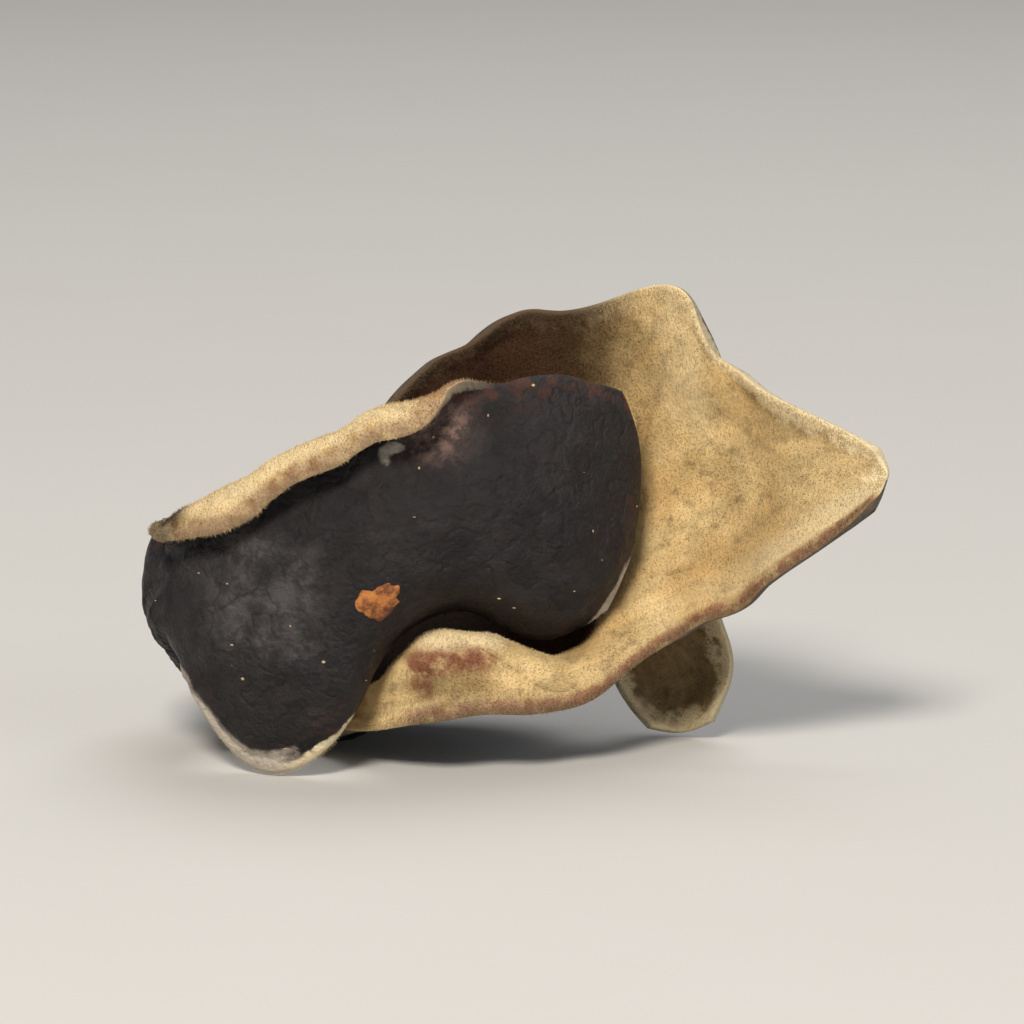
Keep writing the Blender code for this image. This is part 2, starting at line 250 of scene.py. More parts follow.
def spline(knots, values, at):
    """The natural cubic spline through values, which run along their first axis, read at some places."""
    step = np.diff(knots)
    rise = np.diff(values, axis=0) / step[:, None]
    count = len(knots)
    system = np.eye(count)
    target = np.zeros_like(values)
    for i in range(1, count - 1):
        system[i, i - 1 : i + 2] = step[i - 1], 2 * (step[i - 1] + step[i]), step[i]
        target[i] = 3 * (rise[i] - rise[i - 1])
    bend = np.linalg.solve(system, target)
    span = np.clip(np.searchsorted(knots, at, side="right") - 1, 0, count - 2)
    reach = (at - knots[span])[:, None]
    width = step[span][:, None]
    slope = rise[span] - width * (2 * bend[span] + bend[span + 1]) / 3
    twist = (bend[span + 1] - bend[span]) / (3 * width)
    return values[span] + reach * (slope + reach * (bend[span] + reach * twist))


def knots_of(ribs):
    """How far along the sheet each rib is."""
    gaps = np.linalg.norm(np.diff(np.array(ribs), axis=0), axis=2).mean(axis=1)
    return np.concatenate([[0], np.cumsum(gaps)])


def loft(ribs, columns, heights):
    """Points of the smooth surface through the ribs, as rows of columns."""
    ribs = np.array(ribs, float)
    count, across = ribs.shape[:2]
    knots = knots_of(ribs)
    fine = spline(knots, ribs.reshape(count, -1), np.interp(columns, np.arange(count), knots))
    fine = fine.reshape(len(columns), across, 3).transpose(1, 0, 2)
    points = spline(np.linspace(0, 1, across), fine.reshape(across, -1), heights)
    return points.reshape(len(heights), len(columns), 3)


def crowded(length, count):
    """Places from 0 to 1 along a length, closer together near both ends."""
    even = np.linspace(0, 1, 4001)
    density = 1 + CROWDING_GAIN * np.exp(-np.minimum(even, 1 - even) * length / CROWDING)
    total = np.concatenate([[0], np.cumsum((density[1:] + density[:-1]) / 2)])
    return np.interp(np.linspace(0, total[-1], count), total, even)


def distances(points, axis):
    """How far each point is from the first one on its row or column, along the surface."""
    steps = np.linalg.norm(np.diff(points, axis=axis), axis=2)
    return np.concatenate([np.zeros_like(np.take(steps, [0], axis)), np.cumsum(steps, axis)], axis)


def unit(vectors):
    return vectors / np.maximum(np.linalg.norm(vectors, axis=-1, keepdims=True), 1e-9)


def normals(points):
    """The direction across the sheet at each point, pointing out of the roll."""
    return unit(np.cross(np.gradient(points, axis=0), np.gradient(points, axis=1)))


def smoothstep(low, high, value):
    share = np.clip((value - low) / (high - low), 0, 1)
    return share * share * (3 - 2 * share)


def spot(points, centre, radius):
    """A soft round spot."""
    away = np.linalg.norm(points - centre, axis=2)
    return smoothstep(radius, 0.3 * radius, away)


def from_line(points, start, end):
    """How far each point is from a straight line between two places."""
    way = np.subtract(end, start)
    share = np.clip((points - start) @ way / (way @ way), 0, 1)
    return np.linalg.norm(points - start - share[:, :, None] * way, axis=2)


def bump(edges, value):
    """Rises from 0 to 1 between the first two edges and falls again between the last two."""
    return smoothstep(edges[0], edges[1], value) * smoothstep(edges[3], edges[2], value)


def rolled(points, out, widths, radius):
    """The sheet with a strip along its last row rolled towards the side that out points to."""
    along = distances(points, 0)
    result = points.copy()
    for column in np.flatnonzero(widths > 0.05):
        place = along[:, column]
        start = place[-1] - widths[column]
        read = [np.interp(start, place, points[:, column, k]) for k in range(3)]
        ahead = [np.interp(start + 0.1, place, points[:, column, k]) for k in range(3)]
        away = np.array([np.interp(start, place, out[:, column, k]) for k in range(3)])
        forward = np.subtract(ahead, read)
        forward /= np.linalg.norm(forward)
        away -= forward * (away @ forward)
        away /= np.linalg.norm(away)
        strip = place > start
        angle = (place[strip, None] - start) / radius
        result[strip, column] = read + radius * (np.sin(angle) * forward + (1 - np.cos(angle)) * away)
    return result


def curled(points, rib):
    """The sheet with the flap's upper margin rolled into a collar and its lower left one into a hem."""
    crumple = 1 + sum(part * np.sin(rate * rib + start) for part, rate, start in COLLAR_WAVES)
    collar = COLLAR * crumple * bump(COLLAR_RIBS, rib)
    points = rolled(points, normals(points), collar, COLLAR_RADIUS)
    hem = HEM * bump(HEM_RIBS, rib)
    return rolled(points[::-1], normals(points)[::-1], hem, HEM_RADIUS)[::-1]


def from_base(points):
    """The turn round the base and the distance from it, along the sheet, at each point."""
    along, across = distances(points, 1), distances(points, 0)
    root = np.linalg.norm(points[0] - BASE, axis=1).argmin()
    aside = along - along[:1, root]
    return np.arctan2(across, aside), np.hypot(across, aside)


def ruffled(points, rib):
    """The sheet with waves along its free edges and pleats that fan out from its base."""
    across = distances(points, 0)
    low = np.exp(-across / RUFFLE_FADE) * (1 - bump(HEM_RIBS, rib))
    plain = np.maximum(bump(COLLAR_RIBS, rib), bump(CORNER_RIBS, rib))
    high = np.exp(-(across[-1:] - across) / RUFFLE_FADE) * (1 - plain)
    low = LOW_RUFFLE * low * np.sin(LOW_WAVES[0] * rib + LOW_WAVES[1])
    high = RUFFLE * high * np.sin(RUFFLE_WAVES[0] * rib + RUFFLE_WAVES[1])
    turn, reach = from_base(points)
    pleats = PLEAT * np.sin(PLEATS * turn) * np.exp(-reach / PLEAT_REACH) * smoothstep(0, 1.5, reach)
    return points + normals(points) * (low + high + pleats)[:, :, None]


def to_margin(points):
    """How far each point is from the nearest margin, along the sheet."""
    along, across = distances(points, 1), distances(points, 0)
    sideways = np.minimum(along, along[:, -1:] - along)
    return np.minimum(sideways, np.minimum(across, across[-1:] - across))


def uneven(places, width, seed):
    """Smooth noise from about -1 to 1 at each place, whose lumps are about width across."""
    shift = Vector((seed * 7.31, seed * 3.17, seed * 5.93))
    flat = places.reshape(-1, 3) / width
    values = [noise.noise(Vector(place) + shift) for place in flat]
    return np.array(values).reshape(places.shape[:-1])


def wrinkled(points, amount):
    """The sheet with wrinkles that run out from its base, as it has when it shrinks in drying."""
    turn, reach = from_base(points)
    fan = np.stack([turn * WRINKLE_FAN[0], reach * WRINKLE_FAN[1], np.zeros_like(turn)], axis=2)
    fan[:, :, 0] += WRINKLE_DRIFT * uneven(points, WRINKLE_DRIFT_WIDTH, 3)
    ridges = 1 - 2 * np.abs(uneven(fan, 1, 5))
    lumps = uneven(points, WRINKLE_WIDTH, 9)
    height = WRINKLE * (RIDGE_SHARE * ridges + LUMP_SHARE * lumps) * amount
    height = height * smoothstep(0, WRINKLE_START, reach)
    return points + normals(points) * height[:, :, None]


def sheet_surface():
    """The ear's middle surface, with each column's place along the ribs."""
    knots = knots_of(RIBS)
    rib = np.interp(crowded(knots[-1], SHEET_GRID[0]) * knots[-1], knots, np.arange(len(knots)))
    plain = loft(RIBS, rib, crowded(11, SHEET_GRID[1]))
    shaped = ruffled(curled(plain, rib), rib)
    margin = to_margin(shaped)
    crease = bump(COLLAR_RIBS, rib)[None, :] * np.exp(-distances(shaped[::-1], 0)[::-1] / CRUMPLE_REACH)
    rough = uneven(shaped, CRUMPLE_WIDTH, 2) + 0.5 * uneven(shaped, CRUMPLE_WIDTH / 2.5, 4)
    knot = KNOT * np.exp(-(((rib - KNOT_RIB) / KNOT_WIDTH) ** 2))
    dimple = KNOB_DIMPLE * spot(shaped, KNOB_DIMPLE_CENTRE, KNOB_DIMPLE_RADIUS)
    dent = crease * (CRUMPLE * rough + knot) - dimple
    shaped = shaped - normals(shaped) * dent[:, :, None]
    deeper = 1 + BACK_WRINKLES * bump(BACK_RIBS, rib)
    return wrinkled(shaped, smoothstep(0, 0.8, margin) * deeper), rib


def tongue_surface():
    """The side lobe's middle surface, whose first row lies in the sheet that it grows from."""
    first, last, height = TONGUE_ROOT
    strip = loft(RIBS, np.linspace(first, last, len(TONGUE_RIBS[0])), height + np.array([-0.02, 0, 0.02]))
    root = strip[1] - TONGUE_DEPTH * normals(strip)[1]
    ribs = (root, *TONGUE_RIBS)
    knots = knots_of(ribs)
    rows = np.interp(crowded(knots[-1], TONGUE_GRID[1]) * knots[-1], knots, np.arange(len(knots)))
    points = loft(ribs, rows, crowded(4, TONGUE_GRID[0])).transpose(1, 0, 2)
    return wrinkled(points, 0.5 * smoothstep(0, 0.8, to_margin(points)))


# Meshes.


def thickness(points, margin):
    """How thick the flesh is, with thin margins and a thick base."""
    plain = SHEET_THICKNESS + (MARGIN_THICKNESS - SHEET_THICKNESS) * np.exp(-margin / MARGIN_TAPER)
    away = np.linalg.norm(points - BASE, axis=2)
    return plain + (BASE_THICKNESS - SHEET_THICKNESS) * np.exp(-((away / BASE_RADIUS) ** 2))


def rounded(margin, half):
    """The share of its half thickness that a sheet has left, this far inside its round margin."""
    inside = np.clip(margin / half, 0, 1)
    return np.sqrt(np.clip(inside * (2 - inside), 0, 1))


def both_faces(points, margin):
    """The dark face and the tan one, which meet all along the margin."""
    half = thickness(points, margin) / 2
    out = normals(points)
    fine = SHRIVEL * uneven(points, SHRIVEL_WIDTH, 11) * smoothstep(0, 0.5, margin)
    nap = NAP_HEIGHT * uneven(points, NAP_WIDTH, 13) * smoothstep(0, 0.3, margin)
    dark = points + out * (half * rounded(margin, half) + fine)[:, :, None]
    inner = (half - FELT_DEPTH) * rounded(margin, half)
    tan = points - out * (inner + nap)[:, :, None]
    return dark, tan


def grid_faces(index, front):
    """Faces of a grid of vertex numbers, seen from the front or from behind."""
    corners = [index[:-1, :-1], index[1:, :-1], index[1:, 1:], index[:-1, 1:]]
    faces = np.stack([corner.ravel() for corner in corners], axis=1)
    return faces if front else faces[:, ::-1]


def set_attribute(mesh, name, values):
    """Gives the mesh one number or one vector a point, for its materials and its hairs."""
    kind, field = ("FLOAT", "value") if values.ndim == 1 else ("FLOAT_VECTOR", "vector")
    attribute = mesh.attributes.new(name, kind, "POINT")
    attribute.data.foreach_set(field, values.astype(np.float32).ravel())


def new_mesh(name, points, faces, facts):
    mesh = bpy.data.meshes.new(name)
    mesh.from_pydata(((points - MIDDLE) * MM).tolist(), [], faces.tolist())
    for key, values in facts.items():
        set_attribute(mesh, key, values)
    mesh.shade_smooth()
    return mesh


def new_object(name, mesh):
    piece = bpy.data.objects.new(name, mesh)
    bpy.context.scene.collection.objects.link(piece)
    return piece


def surface_facts(points, marks):
    """What the materials and the hairs read from the surface."""
    margin = to_margin(points)
    turn, reach = from_base(points)
    return {"margin": margin, "turn": turn, "reach": reach} | marks


def closed_sheet(name, points, facts):
    """The mesh of a sheet, closed, with its dark faces in slot 0 and its tan ones in slot 1."""
    dark, tan = both_faces(points, facts["margin"])
    front = np.arange(dark[:, :, 0].size).reshape(dark.shape[:2])
    back = front.copy()
    inner = (slice(1, -1), slice(1, -1))
    back[inner] = front.size + np.arange(front[inner].size).reshape(front[inner].shape)
    vertices = np.concatenate([dark.reshape(-1, 3), tan[inner].reshape(-1, 3)])
    faces = np.concatenate([grid_faces(front, True), grid_faces(back, False)])
    flat = {key: np.concatenate([values.ravel(), values[inner].ravel()]) for key, values in facts.items()}
    mesh = new_mesh(name, vertices, faces, flat)
    slots = np.repeat([0, 1], len(faces) // 2)
    mesh.polygons.foreach_set("material_index", slots.astype(np.int32))
    return mesh, tan


def uphill(points, values):
    """The way along the surface in which some values grow fastest."""
    down, aside = np.gradient(points, axis=0), np.gradient(points, axis=1)
    rise_down, rise_aside = np.gradient(values)
    lengths = [np.maximum((way**2).sum(axis=2), 1e-9) for way in (down, aside)]
    return unit(down * (rise_down / lengths[0])[:, :, None] + aside * (rise_aside / lengths[1])[:, :, None])


def across_margin(points):
    """The way across the nearest margin, out of the sheet."""
    return uphill(points, -to_margin(points))


def felt_ground(tan, facts, columns, combed):
    """An open grid of the tan face, between two columns, for hairs to stand on."""
    part = (slice(1, -1), slice(*columns))
    index = np.arange(tan[part][:, :, 0].size).reshape(tan[part].shape[:2])
    flat = {key: values[part].ravel() for key, values in facts.items()}
    flat["nap"] = combed[part].reshape(-1, 3)
    return new_mesh("ground", tan[part].reshape(-1, 3), grid_faces(index, False), flat)


# Materials and node trees.

PLEAT_STRETCH = (0.006, 0.00016)  # metres of pattern to a radian round the base and to a millimetre out
ZONE_STRETCH = (MM, 0.0008)  # and to a millimetre in from the margin and to a radian
ZONE_DRIFT = 0.5  # millimetres
HAIR_TIP = 0.2  # how much paler a hair is at its tip


def linear(code):
    """The linear colour of an sRGB hex code."""
    values = [int(code[i : i + 2], 16) / 255 for i in (1, 3, 5)]
    return (*[v / 12.92 if v <= 0.04045 else ((v + 0.055) / 1.055) ** 2.4 for v in values], 1)


def give(tree, node, inputs):
    """Sets a node's inputs, each to a value that is the same all over or to a link."""
    for key, value in inputs.items():
        if isinstance(value, bpy.types.NodeSocket):
            tree.links.new(value, node.inputs[key])
        else:
            node.inputs[key].default_value = value


def add(tree, kind, inputs=None, **settings):
    """Adds a node, with its settings and its inputs."""
    node = tree.nodes.new(kind)
    for key, value in settings.items():
        setattr(node, key, value)
    give(tree, node, inputs or {})
    return node


def new_material(name):
    """A material, with its tree, its shader and the coordinates that its patterns are read at."""
    material = bpy.data.materials.new(name)
    material.use_nodes = True
    tree = material.node_tree
    place = add(tree, "ShaderNodeTexCoord").outputs["Object"]
    return material, tree, tree.nodes["Principled BSDF"], place


def read_marks(tree, *names):
    """The values that the mesh holds for its points, by name."""
    return [add(tree, "ShaderNodeAttribute", attribute_name=name).outputs["Fac"] for name in names]


def lumps(place, size, detail=3, rough=0.55):
    """The measures of a noise whose lumps are about size across, in millimetres."""
    return {"Vector": place, "Scale": 1 / (size * MM), "Detail": detail, "Roughness": rough}


def showing(tree, value, span, ends=(0.0, 1.0), of=None):
    """How much of a finish shows: from one end to the other as value crosses the span, times of."""
    inputs = dict(enumerate((value, *span, *ends)))
    part = add(tree, "ShaderNodeMapRange", inputs, interpolation_type="SMOOTHSTEP").outputs[0]
    if of is None:
        return part
    return add(tree, "ShaderNodeMath", {0: of, 1: part}, operation="MULTIPLY").outputs[0]


def patches(tree, measures, span, ends=(0.0, 1.0), of=None):
    """A share that comes and goes with a noise of these measures."""
    height = add(tree, "ShaderNodeTexNoise", measures).outputs["Fac"]
    return showing(tree, height, span, ends, of)


def creases(tree, place, size, depth=1.0):
    """Curved creases about size apart, in millimetres: 0 in them and depth well away from them."""
    height = add(tree, "ShaderNodeTexNoise", lumps(place, size, 2, 0.5)).outputs["Fac"]
    away = add(tree, "ShaderNodeMath", {0: height, 1: 0.5}, operation="SUBTRACT").outputs[0]
    away = add(tree, "ShaderNodeMath", {0: away}, operation="ABSOLUTE").outputs[0]
    return showing(tree, away, (0.0, 0.09), (0.0, depth))


def layered(tree, colour, layers):
    """A colour with others laid over it in turn, each with the share of it that shows."""
    for code, part in layers:
        inputs = {0: part, 6: colour, 7: linear(code)}
        colour = add(tree, "ShaderNodeMix", inputs, data_type="RGBA").outputs[2]
    return colour


def stretched(tree, values, lengths):
    """Coordinates for a pattern, made of some values with a length for each."""
    parts = {}
    for axis, pair in enumerate(zip(values, lengths)):
        inputs = dict(enumerate(pair))
        parts[axis] = add(tree, "ShaderNodeMath", inputs, operation="MULTIPLY").outputs[0]
    return add(tree, "ShaderNodeCombineXYZ", parts).outputs[0]


def pleat_place(tree):
    """Coordinates that follow the pleats: the turn round the base, and the distance from it."""
    return stretched(tree, read_marks(tree, "turn", "reach"), PLEAT_STRETCH)


def zone_place(tree, place):
    """Coordinates that follow the margin, for the growth zones, with a little drift."""
    margin, turn = read_marks(tree, "margin", "turn")
    drift = add(tree, "ShaderNodeTexNoise", lumps(place, 1.5, 2)).outputs["Fac"]
    inputs = {0: drift, 1: ZONE_DRIFT, 2: margin}
    inward = add(tree, "ShaderNodeMath", inputs, operation="MULTIPLY_ADD").outputs[0]
    return stretched(tree, (inward, turn), ZONE_STRETCH)


def rim(tree, place, width, most):
    """The pale edge along the margin, about width across and ragged: at most this share."""
    margin, pale = read_marks(tree, "margin", "pale")
    ragged = patches(tree, lumps(place, 0.5), (0.3, 0.7), (-0.5 * width, 0.5 * width))
    reach = add(tree, "ShaderNodeMath", {0: margin, 1: ragged}, operation="ADD").outputs[0]
    return showing(tree, reach, (0.4 * width, 1.2 * width), (most, 0.0), of=pale)


def felt_colour(tree, place):
    """Tan felt: streaked along its pleats and its zones, with painted shade deep in the roll, painted
    highlights and a creamy margin.
    """
    pleats, zones = pleat_place(tree), zone_place(tree, place)
    stain_and_shade, shade, painted_highlight = read_marks(tree, "stain_and_shade", "shade", "painted_highlight")
    deep = showing(tree, shade, (0.9, 2.0), (0.0, 0.9))
    layers = (
        (FELT_PALE, patches(tree, lumps(place, 2.2, 4), (0.35, 0.65))),
        (FELT_OLIVE, patches(tree, lumps(pleats, 0.3, 4), (0.35, 0.65), (0.0, 0.4))),
        (FELT_OLIVE, patches(tree, lumps(zones, 0.4), (0.45, 0.7), (0.0, 0.3))),
        (FELT_MOTTLE_AND_SHADE, patches(tree, lumps(place, 0.4, 4), (0.5, 0.75), (0.0, 0.45))),
        # rust colour, with painted shade along the collar's and the lip's lower edges and in the knob's
        # dimple
        (FELT_RUST_AND_SHADE, patches(tree, lumps(place, 0.4, 4), (0.3, 0.55), (0.2, 1.0), of=stain_and_shade)),
        # painted shade: brown where the shade mark lies, deeper brown and then near black deep in the roll
        (FELT_MOTTLE_AND_SHADE, patches(tree, lumps(place, 1.6), (0.2, 0.8), (0.75, 1.1), of=shade)),
        (FELT_DEEP_SHADE, patches(tree, lumps(pleats, 0.5, 4), (0.3, 0.7), (0.65, 1.0), of=deep)),
        (SKIN_BLACK, showing(tree, shade, (2.0, 3.0), (0.0, 0.85))),
        # painted highlights, then the pale margin
        (CREAM_RIM_AND_HIGHLIGHT, painted_highlight),
        (CREAM_RIM_AND_HIGHLIGHT, rim(tree, place, 0.55, 0.85)),
    )
    return layered(tree, linear(FELT_TAN), layers)


def felted_back():
    """The ear's back: dry felt, matt and soft, so its light falls off slowly with no shine."""
    material, tree, shader, place = new_material("dried_felt")
    pile = add(tree, "ShaderNodeTexNoise", lumps(place, 0.09, 3, 0.7)).outputs["Fac"]
    folds = add(tree, "ShaderNodeTexNoise", lumps(pleat_place(tree), 0.25)).outputs["Fac"]
    height = add(tree, "ShaderNodeMath", {0: pile, 1: folds}, operation="ADD").outputs[0]
    relief = {"Strength": 0.8, "Distance": 0.05 * MM, "Height": height}
    finish = {
        "Base Color": felt_colour(tree, place),
        "Roughness": 0.92,
        "Specular IOR Level": 0.25,
        "Sheen Weight": 0.2,
        "Sheen Roughness": 0.5,
        "Sheen Tint": linear(FELT_TAN),
        "Normal": add(tree, "ShaderNodeBump", relief).outputs[0],
    }
    give(tree, shader, finish)
    return material


def felt_hair():
    """One hair of the felt: dry and dull, paler towards its tip and no two quite alike."""
    material, tree, shader, place = new_material("dried_felt_hair")
    shade, tip, tone = read_marks(tree, "shade", "tip", "tone")
    # the paler tips and the duller tone fade out where the felt has painted shade
    lit = showing(tree, shade, (0.0, 1.0), (1.0, 0.1))
    paler = add(tree, "ShaderNodeMath", {0: tip, 1: HAIR_TIP}, operation="MULTIPLY").outputs[0]
    paler = add(tree, "ShaderNodeMath", {0: paler, 1: lit}, operation="MULTIPLY").outputs[0]
    duller = showing(tree, tone, (0.0, 1.0), (0.0, 0.3), of=lit)
    colour = layered(tree, felt_colour(tree, place), ((CREAM_RIM_AND_HIGHLIGHT, paler), (FELT_OLIVE, duller)))
    give(tree, shader, {"Base Color": colour, "Roughness": 0.8, "Specular IOR Level": 0.25})
    return material


def skin_colour(tree, place):
    """Dark skin: browner in patches, painted near-black shade in its creases, red where thin, bloomed grey
    with a painted sheen, and pale at edges, with wear and painted highlights.
    """
    bloom_and_sheen, blush, margin, wear_and_highlight = read_marks(tree, "bloom_and_sheen", "blush", "margin", "wear_and_highlight")
    grey_sheen_and_bloom = showing(tree, bloom_and_sheen, (0.0, 1.0), (0.12, 0.9))
    thin = showing(tree, margin, (0.1, 1.3), (0.8, 0.0))
    fine = add(tree, "ShaderNodeTexNoise", lumps(place, 0.25, 4, 0.65)).outputs["Fac"]
    ragged = add(tree, "ShaderNodeMath", {0: wear_and_highlight, 1: fine}, operation="ADD").outputs[0]
    layers = (
        (SKIN_BROWN, patches(tree, lumps(place, 1.4, 5), (0.35, 0.65))),
        # a faint grey bloom all over and on the back, and a painted grey sheen on the flap beside the fold
        (SKIN_BLOOM_AND_SHEEN, patches(tree, lumps(place, 0.9, 6, 0.7), (0.35, 0.7), (0.1, 0.9), of=grey_sheen_and_bloom)),
        # painted shade, near black, in the creases
        (SKIN_BLACK, showing(tree, creases(tree, place, 0.7), (0.0, 0.7), (0.4, 0.0))),
        (SKIN_BLUSH, patches(tree, lumps(place, 0.35, 5, 0.7), (0.42, 0.62), (0.25, 1.0), of=blush)),
        (SKIN_RED, patches(tree, lumps(place, 0.5, 4), (0.45, 0.65), of=thin)),
        (CREAM_RIM_AND_HIGHLIGHT, rim(tree, place, 0.2, 0.9)),
        # a pale rim with painted highlights along the flap's free edge, a painted highlight streak, and the
        # hem's pale wear
        (GREY_RIM_AND_HIGHLIGHT, showing(tree, ragged, (0.8, 1.6), (0.0, 0.9))),
    )
    return layered(tree, linear(SKIN_BLACK), layers)


def dark_skin():
    """The ear's fertile face: a dried jelly skin, near black, with a dull satin shine, grey where it has
    bloomed, and a painted grey sheen.
    """
    material, tree, shader, place = new_material("dried_jelly_skin")
    peel = add(tree, "ShaderNodeTexNoise", lumps(place, 0.16, 5, 0.7)).outputs["Fac"]
    wrinkles = creases(tree, place, 0.7, 0.25)
    height = add(tree, "ShaderNodeMath", {0: peel, 1: wrinkles}, operation="ADD").outputs[0]
    relief = {"Strength": 1.0, "Distance": 0.1 * MM, "Height": height}
    finish = {
        "Base Color": skin_colour(tree, place),
        "Roughness": patches(tree, lumps(place, 0.5, 5), (0.3, 0.7), (0.38, 0.66)),
        "Specular IOR Level": 0.28,
        "Normal": add(tree, "ShaderNodeBump", relief).outputs[0],
    }
    give(tree, shader, finish)
    return material


def bark():
    """The fleck: a crumb of the log's inner bark, orange and fibrous, with no shine."""
    material, tree, shader, place = new_material("bark_crumb")
    fibres = patches(tree, lumps(place, 0.3, 5, 0.7), (0.38, 0.62))
    height = add(tree, "ShaderNodeTexNoise", lumps(place, 0.12, 4, 0.7)).outputs["Fac"]
    relief = {"Strength": 1.0, "Distance": 0.05 * MM, "Height": height}
    finish = {
        "Base Color": layered(tree, linear(BARK_BROWN), [(BARK_ORANGE, fibres)]),
        "Roughness": 0.85,
        "Normal": add(tree, "ShaderNodeBump", relief).outputs[0],
    }
    give(tree, shader, finish)
    return material


def dust():
    """Pale grit and spores that cling to the dark face: matt, light grey."""
    material, tree, shader, place = new_material("dry_dust")
    tan = add(tree, "ShaderNodeTexNoise", lumps(place, 0.5, 2)).outputs["Fac"]
    colour = layered(tree, linear(DUST_GREY), [(FELT_TAN, tan)])
    give(tree, shader, {"Base Color": colour, "Roughness": 0.9})
    return material


def floor_paper():
    """Matt off-white paper, with the faintest unevenness."""
    material, tree, shader, place = new_material("matt_paper")
    grey = add(tree, "ShaderNodeTexNoise", lumps(place, 8)).outputs["Fac"]
    faint = add(tree, "ShaderNodeMath", {0: grey, 1: 0.06}, operation="MULTIPLY").outputs[0]
    colour = layered(tree, linear(FLOOR_GREY), [(DUST_GREY, faint)])
    give(tree, shader, {"Base Color": colour, "Roughness": 0.95, "Specular IOR Level": 0.1})
    return material


# Hairs and dust.

HAIRS = {
    "Density": 450e6,  # a square metre
    "Length": 0.085 * MM,
    "Width": 0.017 * MM,  # some three times a real hair's, which would be too fine to show
    "Lean": 0.7,
    "Stray": 0.6,
    "Seed": 1,
}
FRINGE = {"Density": 620e6, "Length": 0.1 * MM, "Width": 0.014 * MM, "Lean": 1.0, "Stray": 0.6, "Seed": 2}
FRINGE_REACH = 0.22  # in from the margin, in millimetres
HAIR_SIZES = (0.55, 1.25)  # shares of the full length
TONE_SEED = 7
# Between which ribs each piece of felt lies.
FELT_AREAS = {"flap": (0, 4.6), "fold": (4.6, 8), "wall": (8, 11), "lip": (11, 13.6), "fan": (13.6, 17)}
DUST = {"Density": 0.22e6, "Size": 0.055 * MM, "Seed": 5}
CRUMB_SIZES = ((0.15, 0.15, 0.15), (1.3, 0.9, 0.7))


def new_tree(name, sizes):
    """A geometry tree with named inputs: some sizes, a seed and a material."""
    tree = bpy.data.node_groups.new(name, "GeometryNodeTree")
    sockets = dict.fromkeys(sizes, "NodeSocketFloat")
    sockets |= {"Seed": "NodeSocketInt", "Material": "NodeSocketMaterial"}
    face = tree.interface
    face.new_socket("Geometry", in_out="INPUT", socket_type="NodeSocketGeometry")
    face.new_socket("Geometry", in_out="OUTPUT", socket_type="NodeSocketGeometry")
    for label, kind in sockets.items():
        face.new_socket(label, in_out="INPUT", socket_type=kind)
    return tree, add(tree, "NodeGroupInput").outputs


def seats_on(tree, given):
    """Where the hairs or crumbs stand: points scattered on the faces."""
    inputs = {"Mesh": given["Geometry"], "Density": given["Density"], "Seed": given["Seed"]}
    return add(tree, "GeometryNodeDistributePointsOnFaces", inputs).outputs


def end_tree(tree, given, made):
    """Turns what was made into plain mesh, in its material."""
    real = add(tree, "GeometryNodeRealizeInstances", {0: made}).outputs[0]
    done = add(tree, "GeometryNodeSetMaterial", {"Geometry": real, "Material": given["Material"]}).outputs[0]
    add(tree, "NodeGroupOutput", {0: done})
    return tree


def hair_tree():
    """Hairs that stand on a surface: each is a bare spike, leaning with the nap and a little astray."""
    tree, given = new_tree("felt_hairs", ("Density", "Length", "Width", "Lean", "Stray"))
    seats = seats_on(tree, given)
    nap = add(tree, "GeometryNodeInputNamedAttribute", {"Name": "nap"}, data_type="FLOAT_VECTOR").outputs[0]
    lean = add(tree, "ShaderNodeVectorMath", {0: nap, "Scale": given["Lean"]}, operation="SCALE").outputs[0]
    any_way = {0: (-1, -1, -1), 1: (1, 1, 1), "Seed": given["Seed"]}
    stray = add(tree, "FunctionNodeRandomValue", any_way, data_type="FLOAT_VECTOR").outputs[0]
    stray_inputs = {0: stray, "Scale": given["Stray"]}
    stray = add(tree, "ShaderNodeVectorMath", stray_inputs, operation="SCALE").outputs[0]
    way = add(tree, "ShaderNodeVectorMath", {0: seats["Normal"], 1: lean}, operation="ADD").outputs[0]
    way = add(tree, "ShaderNodeVectorMath", {0: way, 1: stray}, operation="ADD").outputs[0]
    turn = add(tree, "FunctionNodeAlignRotationToVector", {"Vector": way}, axis="Z").outputs[0]
    radius = add(tree, "ShaderNodeMath", {0: given["Width"], 1: 0.5}, operation="MULTIPLY").outputs[0]
    cone = {"Vertices": 3, "Radius Top": 0.0, "Radius Bottom": radius, "Depth": given["Length"]}
    spike = add(tree, "GeometryNodeMeshCone", cone, fill_type="NGON").outputs[0]
    up = add(tree, "ShaderNodeSeparateXYZ", {0: add(tree, "GeometryNodeInputPosition").outputs[0]}).outputs[2]
    tip = add(tree, "ShaderNodeMath", {0: up, 1: given["Length"]}, operation="DIVIDE").outputs[0]
    tip_inputs = {"Geometry": spike, "Name": "tip", "Value": tip}
    spike = add(tree, "GeometryNodeStoreNamedAttribute", tip_inputs, data_type="FLOAT").outputs[0]
    shortest, longest = HAIR_SIZES
    size_inputs = {2: shortest, 3: longest, "Seed": given["Seed"]}
    size = add(tree, "FunctionNodeRandomValue", size_inputs).outputs[1]
    stand_inputs = {"Points": seats["Points"], "Instance": spike, "Rotation": turn, "Scale": size}
    stand = add(tree, "GeometryNodeInstanceOnPoints", stand_inputs).outputs[0]
    tone = add(tree, "FunctionNodeRandomValue", {2: 0.0, 3: 1.0, "Seed": TONE_SEED}).outputs[1]
    toned = {"Geometry": stand, "Name": "tone", "Value": tone}
    kept = {"data_type": "FLOAT", "domain": "INSTANCE"}
    stand = add(tree, "GeometryNodeStoreNamedAttribute", toned, **kept).outputs[0]
    return end_tree(tree, given, stand)


